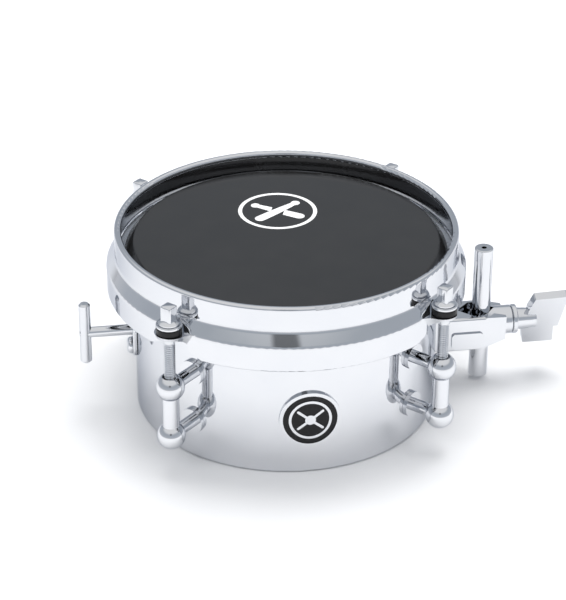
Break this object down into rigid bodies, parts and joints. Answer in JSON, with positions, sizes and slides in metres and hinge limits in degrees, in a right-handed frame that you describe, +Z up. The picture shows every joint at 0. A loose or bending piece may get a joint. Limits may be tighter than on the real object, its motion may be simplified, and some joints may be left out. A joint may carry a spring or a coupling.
{
  "type": "timbale drum",
  "caption": "Small chrome timbale drum: shallow steel shell, black film head under a flared hoop, tube lugs, T-handle snare adjuster and a wing-nut clamp on an upright mount rod.",
  "frame": {"origin": "on the drum's axis, at the foot of the shell", "axes": "+Z up along the drum's axis, -Y towards the badge, +X towards the rod clamp, -X towards the T-handle"},
  "size_m": [0.249, 0.179, 0.0967],
  "materials": {
    "chrome": "polished chrome plate",
    "black_film": "smooth black polyester film with a pale printed ring",
    "black_nylon": "satin black nylon",
    "black_enamel": "gloss black enamel",
    "bare_aluminium": "drawn, unplated",
    "zinc_steel": "bright zinc plate",
    "snare_wire": "bright coiled steel wire"
  },
  "bodies": {
    "drum": {"shell": "chrome", "badge_plate": "chrome", "badge_enamel": "black_enamel", "badge_emblem": "chrome", "tube_lug_1": "chrome", "tube_lug_2": "chrome", "tube_lug_3": "chrome", "tube_lug_4": "chrome", "lug_screws": "zinc_steel", "lug_screw_washers": "zinc_steel", "clamp_bracket": "chrome", "backing_plate": "zinc_steel", "bracket_screws": "zinc_steel", "nose_washer": "chrome", "handle_escutcheon": "chrome", "dome_screw": "chrome", "dome_nut": "zinc_steel", "hinge_bracket": "zinc_steel", "hinge_pin": "zinc_steel", "snare_anchor": "zinc_steel", "anchor_screws": "zinc_steel", "anchor_strip": "snare_wire", "anchor_strip_screws": "zinc_steel", "snare_wires": "snare_wire"},
    "hoop": {"counterhoop": "chrome", "flesh_hoop": "bare_aluminium", "drumhead_film": "black_film", "steel_washers": "chrome", "nylon_washers": "black_nylon"},
    "rod_1": {"tension_rod_1": "chrome"},
    "rod_2": {"tension_rod_2": "chrome"},
    "rod_3": {"tension_rod_3": "chrome"},
    "rod_4": {"tension_rod_4": "chrome"},
    "mount_rod": {"mount_rod": "chrome"},
    "eyebolt": {"eyebolt": "chrome"},
    "wing_nut": {"wing_nut": "chrome"},
    "handle": {"t_handle_shaft": "chrome", "t_handle_bar": "chrome"},
    "arm": {"snare_arm": "zinc_steel", "captive_nut": "zinc_steel", "arm_strip": "snare_wire", "arm_strip_screws": "zinc_steel"}
  },
  "joints": [
    {"name": "hoop_lift", "type": "slide", "parent": "drum", "child": "hoop", "axis": [0, 0, 1], "range_m": [0, 0.004]},
    {"name": "rod_1_turn", "type": "hinge", "parent": "hoop", "child": "rod_1", "pos_m": [0.06597, 0.06597, 0.0832], "axis": [0, 0, 1], "range_deg": [0, 1361]},
    {"name": "rod_2_turn", "type": "hinge", "parent": "hoop", "child": "rod_2", "pos_m": [-0.06597, 0.06597, 0.0832], "axis": [0, 0, 1], "range_deg": [0, 1361]},
    {"name": "rod_3_turn", "type": "hinge", "parent": "hoop", "child": "rod_3", "pos_m": [-0.06597, -0.06597, 0.0832], "axis": [0, 0, 1], "range_deg": [0, 1361]},
    {"name": "rod_4_turn", "type": "hinge", "parent": "hoop", "child": "rod_4", "pos_m": [0.06597, -0.06597, 0.0832], "axis": [0, 0, 1], "range_deg": [0, 1361]},
    {"name": "mount_rod_slide", "type": "slide", "parent": "drum", "child": "mount_rod", "axis": [0, 0, 1], "range_m": [0, 0.018]},
    {"name": "eyebolt_slide", "type": "slide", "parent": "drum", "child": "eyebolt", "axis": [1, 0, 0], "range_m": [-0.0015, 0]},
    {"name": "wing_nut_turn", "type": "hinge", "parent": "drum", "child": "wing_nut", "pos_m": [0.1245, 0, 0.0332], "axis": [1, 0, 0], "range_deg": [0, 541]},
    {"name": "handle_turn", "type": "hinge", "parent": "drum", "child": "handle", "pos_m": [-0.09, 0, 0.04305], "axis": [1, 0, 0], "range_deg": [-540, 90]},
    {"name": "arm_swing", "type": "hinge", "parent": "drum", "child": "arm", "pos_m": [-0.0665, 0, 0.034], "axis": [0, -1, 0], "range_deg": [-7.61, 1.28]}
  ],
  "couplings": [
    {"joint": "rod_1_turn", "follows": "hoop_lift", "rad_per_m": 5936.9},
    {"joint": "rod_2_turn", "follows": "hoop_lift", "rad_per_m": 5936.9},
    {"joint": "rod_3_turn", "follows": "hoop_lift", "rad_per_m": 5936.9},
    {"joint": "rod_4_turn", "follows": "hoop_lift", "rad_per_m": 5936.9},
    {"joint": "wing_nut_turn", "follows": "eyebolt_slide", "rad_per_m": -6283.2},
    {"joint": "arm_swing", "follows": "handle_turn", "ratio": 0.014069}
  ]
}
